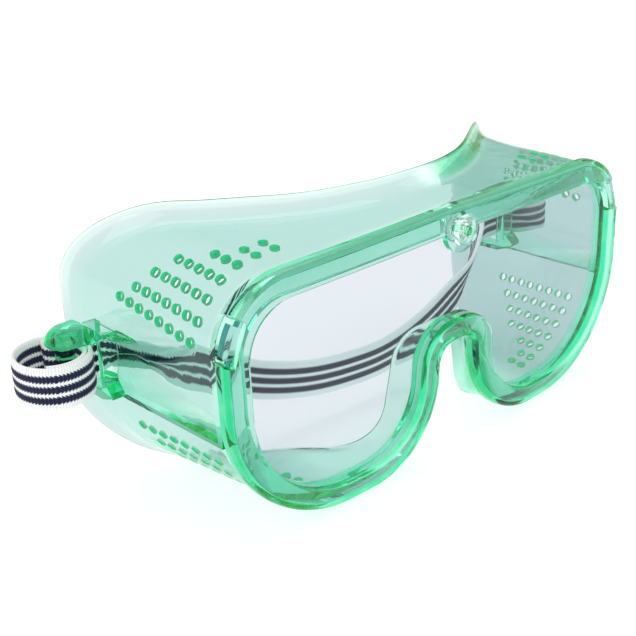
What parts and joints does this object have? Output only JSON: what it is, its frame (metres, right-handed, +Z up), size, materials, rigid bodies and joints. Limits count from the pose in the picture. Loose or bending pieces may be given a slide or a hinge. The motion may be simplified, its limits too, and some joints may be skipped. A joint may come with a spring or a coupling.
{
  "type": "safety goggles",
  "caption": "Soft green-tinted safety goggles with a clear wrap lens, perforated side walls, a push rivet and a striped elastic strap looped on side lugs.",
  "frame": {"origin": "centre of the base of the object's bounding box, on the surface it stands on, midway between the two temples", "axes": "-Y is the way the lens faces and the wearer looks, +Y is the face side, +Z is up towards the brow, +X is to the right seen from in front of the goggles"},
  "size_m": [0.2138, 0.0786, 0.0796],
  "materials": {
    "green_pvc": "clear green-tinted soft PVC, glossy",
    "clear_lens": "clear polycarbonate, polished",
    "clear_rivet": "clear moulded plastic",
    "green_pin": "green moulded plastic",
    "striped_webbing": "white elastic webbing with navy stripes",
    "striped_webbing_left": "white elastic webbing with navy stripes",
    "striped_webbing_right": "white elastic webbing with navy stripes",
    "white_thread_left": "white stitching thread",
    "white_thread_right": "white stitching thread"
  },
  "bodies": {
    "goggles": {"frame_body": "green_pvc", "lens": "clear_lens", "lens_rivet": "clear_rivet", "strap_band": "striped_webbing"},
    "pin": {"rivet_pin": "green_pin"},
    "left_loop": {"strap_loop_left": "striped_webbing_left", "bar_tack_left": "white_thread_left"},
    "right_loop": {"strap_loop_right": "striped_webbing_right", "bar_tack_right": "white_thread_right"}
  },
  "joints": [
    {"name": "pin_pull", "type": "slide", "parent": "goggles", "child": "pin", "axis": [0, -1, 0], "range_m": [0, 0.003]},
    {"name": "left_loop_swing", "type": "hinge", "parent": "goggles", "child": "left_loop", "pos_m": [-0.0928, 0.0207, 0.038], "axis": [0, 0, 1], "range_deg": [-15, 15]},
    {"name": "right_loop_swing", "type": "hinge", "parent": "goggles", "child": "right_loop", "pos_m": [0.0928, 0.0207, 0.038], "axis": [0, 0, 1], "range_deg": [-15, 15]}
  ]
}
